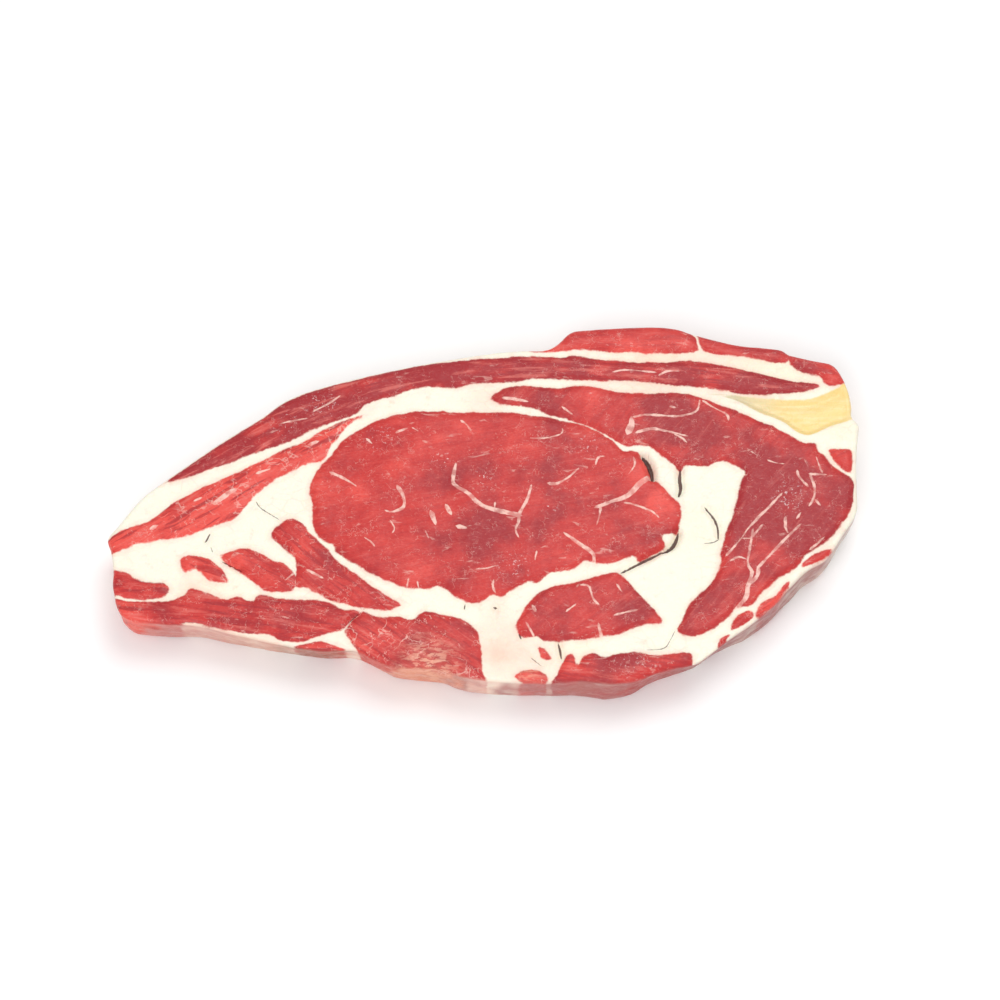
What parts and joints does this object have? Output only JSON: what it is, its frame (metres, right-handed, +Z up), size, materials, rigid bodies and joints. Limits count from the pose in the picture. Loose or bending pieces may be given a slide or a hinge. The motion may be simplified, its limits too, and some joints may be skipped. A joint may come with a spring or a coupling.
{
  "type": "raw ribeye steak",
  "caption": "Raw boneless ribeye steak, one thick slice lying flat, with fat seams, a ligament and an uneven fatty rim.",
  "frame": {"origin": "under the middle of the slice's box, on the surface that it lies on", "axes": "+X along the slice's length to the viewer's right, +Y across it to the back, +Z up out of the cut face"},
  "size_m": [0.2564, 0.1354, 0.0188],
  "materials": {
    "raw_meat": "moist"
  },
  "bodies": {
    "root": {"steak": "raw_meat"}
  },
  "joints": []
}
